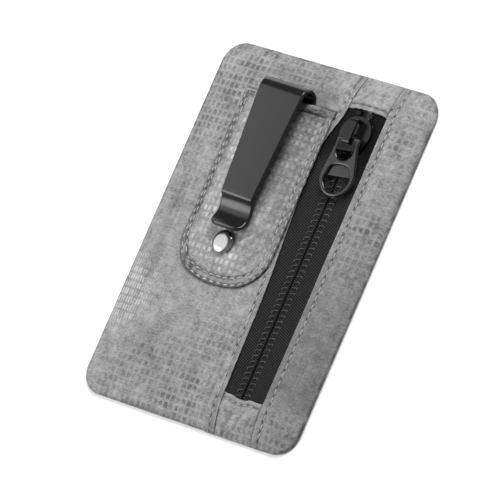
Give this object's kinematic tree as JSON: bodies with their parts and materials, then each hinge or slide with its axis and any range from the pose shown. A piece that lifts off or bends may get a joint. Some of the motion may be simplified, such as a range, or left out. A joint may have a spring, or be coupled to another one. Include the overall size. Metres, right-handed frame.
{
  "type": "hidden travel pouch",
  "caption": "Flat fabric travel pouch with a front zip, a sewn patch and a bent belt clip held by a rivet.",
  "frame": {"origin": "middle of the resting face on the pouch's back, at the centre of its bounding box", "axes": "+X across the front to the right, +Y up the pouch towards its top edge, +Z out of the front face"},
  "size_m": [0.102, 0.14, 0.0127],
  "materials": {
    "ripstop": "matte grey ripstop nylon",
    "shield_lining": "silver grey coated lining",
    "zip_tape": "black twill tape",
    "zip_coil": "black coil",
    "zip_stop": "black stop",
    "slider_metal": "satin black enamel",
    "lock_spring": "plain spring steel",
    "clip_metal": "smooth black enamel",
    "rivet": "bright nickel"
  },
  "bodies": {
    "pouch": {"back_panel": "ripstop", "front_panel_left": "ripstop", "front_panel_right": "ripstop", "zip_tab_top": "ripstop", "zip_tab_bottom": "ripstop", "clip_patch": "ripstop", "lining_back": "shield_lining", "lining_front_left": "shield_lining", "lining_front_right": "shield_lining", "zip_tape_left": "zip_tape", "zip_tape_right": "zip_tape", "zip_coil_left": "zip_coil", "zip_coil_right": "zip_coil", "zip_top_stop_left": "zip_stop", "zip_top_stop_right": "zip_stop", "zip_bottom_stop": "zip_stop", "clip_tongue": "clip_metal", "rivet_cap": "rivet", "rivet_post": "rivet"},
    "slider": {"slider_body": "slider_metal", "slider_bridge": "slider_metal", "slider_lock_spring": "lock_spring"},
    "puller": {"slider_puller": "slider_metal"},
    "clip": {"belt_clip": "clip_metal"}
  },
  "joints": [
    {"name": "slider_travel", "type": "slide", "parent": "pouch", "child": "slider", "axis": [0, -1, 0], "range_m": [0, 0.094], "deforming": ["zip_tape_left", "zip_tape_right", "zip_coil_left", "zip_coil_right"]},
    {"name": "puller_pivot", "type": "hinge", "parent": "slider", "child": "puller", "pos_m": [0.0226, 0.0454, 0.006], "axis": [-0.9954, -0.0958, 0], "range_deg": [0, 170]},
    {"name": "clip_flex", "type": "hinge", "parent": "pouch", "child": "clip", "pos_m": [-0.0101, 0.0541, 0.004], "axis": [-0.9995, 0.0332, 0], "range_deg": [0, 8], "stiffness_Nm_per_rad": 0.6}
  ]
}
